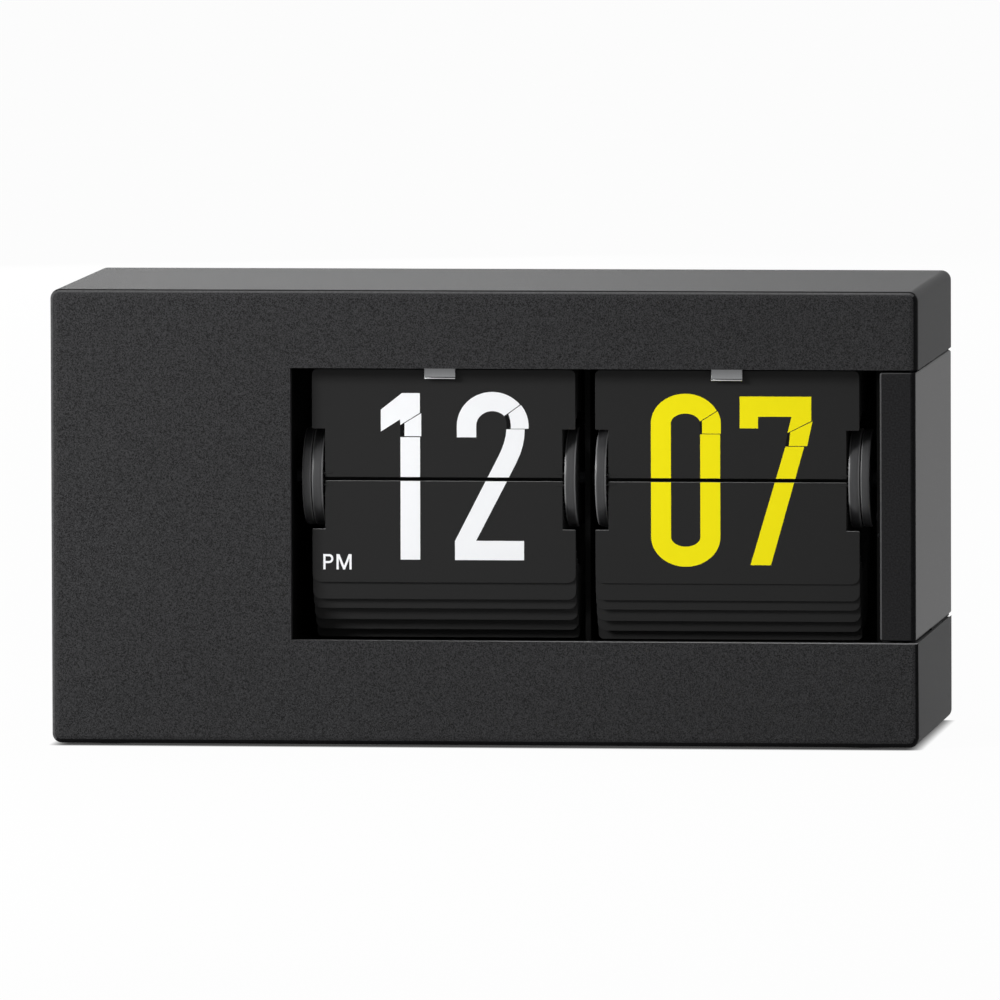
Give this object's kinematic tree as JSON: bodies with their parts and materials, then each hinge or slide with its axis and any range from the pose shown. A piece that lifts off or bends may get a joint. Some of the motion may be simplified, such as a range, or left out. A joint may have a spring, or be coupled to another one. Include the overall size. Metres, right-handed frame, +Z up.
{
  "type": "flip clock",
  "caption": "Desk flip clock: long C-shaped dark case with a separate end block and an open window showing hour and minute flap drums.",
  "frame": {"origin": "centre of the footprint at the height of the feet's undersides", "axes": "+X to the right as seen from the front, +Y to the back, +Z up"},
  "size_m": [0.2, 0.085, 0.105],
  "materials": {
    "brass": "machined",
    "cell": "printed sleeve",
    "dark": "matt black",
    "disc": "satin dark grey",
    "flap": "satin black",
    "gear": "natural acetal",
    "rubber": "matt",
    "shell": "fine textured dark grey",
    "steel": "brushed"
  },
  "bodies": {
    "case": {"case_shell": "shell", "end_block": "shell", "rear_cover": "dark", "foot_front_left": "rubber", "foot_front_right": "rubber", "foot_rear_left": "rubber", "foot_rear_right": "rubber", "battery_tray": "dark", "cell_upper": "cell", "cell_lower": "cell", "contact_link": "steel", "contact_plus": "steel", "contact_minus": "steel", "frame_left": "dark", "frame_middle": "dark", "frame_right": "dark", "gear_plate": "dark", "tie_rod_top": "steel", "tie_rod_middle": "steel", "tie_rod_low": "steel", "catch_bar": "dark", "hour_catch": "steel", "minute_catch": "steel", "gearbox": "dark", "motor_can": "steel"},
    "battery_door": {"battery_door": "dark"},
    "idler_gear": {"idler_gear": "gear"},
    "time_set_wheel": {"time_set_wheel": "dark"},
    "motor_pinion": {"motor_pinion": "brass"},
    "hour_drum": {"hour_disc_left": "disc", "hour_disc_right": "disc", "hour_outer_disc": "disc", "hour_hub": "disc", "hour_rear_flaps": "flap", "hour_next_flap": "flap"},
    "hour_top_flap": {"hour_top_flap": "flap"},
    "hour_front_flap": {"hour_front_flap": "flap"},
    "hour_stack_flap_1": {"hour_stack_flap_1": "flap"},
    "hour_stack_flap_2": {"hour_stack_flap_2": "flap"},
    "hour_stack_flap_3": {"hour_stack_flap_3": "flap"},
    "hour_stack_flap_4": {"hour_stack_flap_4": "flap"},
    "minute_drum": {"minute_disc_left": "disc", "minute_disc_right": "disc", "minute_outer_disc": "disc", "minute_hub": "disc", "minute_rear_flaps": "flap", "minute_next_flap": "flap", "axle": "steel", "drive_gear": "gear"},
    "minute_top_flap": {"minute_top_flap": "flap"},
    "minute_front_flap": {"minute_front_flap": "flap"},
    "minute_stack_flap_1": {"minute_stack_flap_1": "flap"},
    "minute_stack_flap_2": {"minute_stack_flap_2": "flap"},
    "minute_stack_flap_3": {"minute_stack_flap_3": "flap"},
    "minute_stack_flap_4": {"minute_stack_flap_4": "flap"}
  },
  "joints": [
    {"name": "hour_drum_step", "type": "hinge", "parent": "case", "child": "hour_drum", "pos_m": [0, -0.0272, 0.0614], "axis": [1, 0, 0], "range_deg": [0, 15]},
    {"name": "hour_flap_fall", "type": "hinge", "parent": "hour_drum", "child": "hour_top_flap", "pos_m": [0, -0.03751, 0.06276], "axis": [1, 0, 0], "range_deg": [0, 165.01]},
    {"name": "hour_front_hang", "type": "hinge", "parent": "hour_drum", "child": "hour_front_flap", "pos_m": [0, -0.03751, 0.06004], "axis": [1, 0, 0], "range_deg": [-15.01, 0]},
    {"name": "hour_stack_hang_1", "type": "hinge", "parent": "hour_drum", "child": "hour_stack_flap_1", "pos_m": [0, -0.03681, 0.05742], "axis": [1, 0, 0], "range_deg": [-15.01, 0]},
    {"name": "hour_stack_hang_2", "type": "hinge", "parent": "hour_drum", "child": "hour_stack_flap_2", "pos_m": [0, -0.03545, 0.05507], "axis": [1, 0, 0], "range_deg": [-15.01, 0]},
    {"name": "hour_stack_hang_3", "type": "hinge", "parent": "hour_drum", "child": "hour_stack_flap_3", "pos_m": [0, -0.03353, 0.05315], "axis": [1, 0, 0], "range_deg": [-15.01, 0]},
    {"name": "hour_stack_hang_4", "type": "hinge", "parent": "hour_drum", "child": "hour_stack_flap_4", "pos_m": [0, -0.03118, 0.05179], "axis": [1, 0, 0], "range_deg": [-15.01, 0]},
    {"name": "minute_drum_step", "type": "hinge", "parent": "case", "child": "minute_drum", "pos_m": [0, -0.0272, 0.0614], "axis": [1, 0, 0], "range_deg": [0, 12]},
    {"name": "minute_flap_fall", "type": "hinge", "parent": "minute_drum", "child": "minute_top_flap", "pos_m": [0, -0.03754, 0.06249], "axis": [1, 0, 0], "range_deg": [0, 168.01]},
    {"name": "minute_front_hang", "type": "hinge", "parent": "minute_drum", "child": "minute_front_flap", "pos_m": [0, -0.03754, 0.06031], "axis": [1, 0, 0], "range_deg": [-12.01, 0]},
    {"name": "minute_stack_hang_1", "type": "hinge", "parent": "minute_drum", "child": "minute_stack_flap_1", "pos_m": [0, -0.03709, 0.05819], "axis": [1, 0, 0], "range_deg": [-12.01, 0]},
    {"name": "minute_stack_hang_2", "type": "hinge", "parent": "minute_drum", "child": "minute_stack_flap_2", "pos_m": [0, -0.03621, 0.0562], "axis": [1, 0, 0], "range_deg": [-12.01, 0]},
    {"name": "minute_stack_hang_3", "type": "hinge", "parent": "minute_drum", "child": "minute_stack_flap_3", "pos_m": [0, -0.03493, 0.05444], "axis": [1, 0, 0], "range_deg": [-12.01, 0]},
    {"name": "minute_stack_hang_4", "type": "hinge", "parent": "minute_drum", "child": "minute_stack_flap_4", "pos_m": [0, -0.03331, 0.05299], "axis": [1, 0, 0], "range_deg": [-12.01, 0]},
    {"name": "idler_turn", "type": "hinge", "parent": "case", "child": "idler_gear", "pos_m": [-0.0515, 0.00235, 0.0614], "axis": [1, 0, 0], "range_deg": [-7.61, 0]},
    {"name": "time_set_turn", "type": "hinge", "parent": "case", "child": "time_set_wheel", "pos_m": [-0.0515, 0.0283, 0.0614], "axis": [1, 0, 0], "range_deg": [0, 17.55]},
    {"name": "motor_pinion_turn", "type": "hinge", "parent": "case", "child": "motor_pinion", "pos_m": [-0.0515, 0.00235, 0.03845], "axis": [1, 0, 0], "range_deg": [0, 28.51]},
    {"name": "battery_door_slide", "type": "slide", "parent": "case", "child": "battery_door", "axis": [0, 0, -1], "range_m": [0, 0.012]}
  ],
  "couplings": [
    {"joint": "hour_flap_fall", "follows": "hour_drum_step", "ratio": 11},
    {"joint": "hour_front_hang", "follows": "hour_drum_step", "ratio": -1},
    {"joint": "hour_stack_hang_1", "follows": "hour_drum_step", "ratio": -1},
    {"joint": "hour_stack_hang_2", "follows": "hour_drum_step", "ratio": -1},
    {"joint": "hour_stack_hang_3", "follows": "hour_drum_step", "ratio": -1},
    {"joint": "hour_stack_hang_4", "follows": "hour_drum_step", "ratio": -1},
    {"joint": "minute_flap_fall", "follows": "minute_drum_step", "ratio": 14},
    {"joint": "minute_front_hang", "follows": "minute_drum_step", "ratio": -1},
    {"joint": "minute_stack_hang_1", "follows": "minute_drum_step", "ratio": -1},
    {"joint": "minute_stack_hang_2", "follows": "minute_drum_step", "ratio": -1},
    {"joint": "minute_stack_hang_3", "follows": "minute_drum_step", "ratio": -1},
    {"joint": "minute_stack_hang_4", "follows": "minute_drum_step", "ratio": -1},
    {"joint": "idler_turn", "follows": "minute_drum_step", "ratio": -0.63333},
    {"joint": "time_set_turn", "follows": "minute_drum_step", "ratio": 1.4615},
    {"joint": "motor_pinion_turn", "follows": "minute_drum_step", "ratio": 2.375}
  ]
}
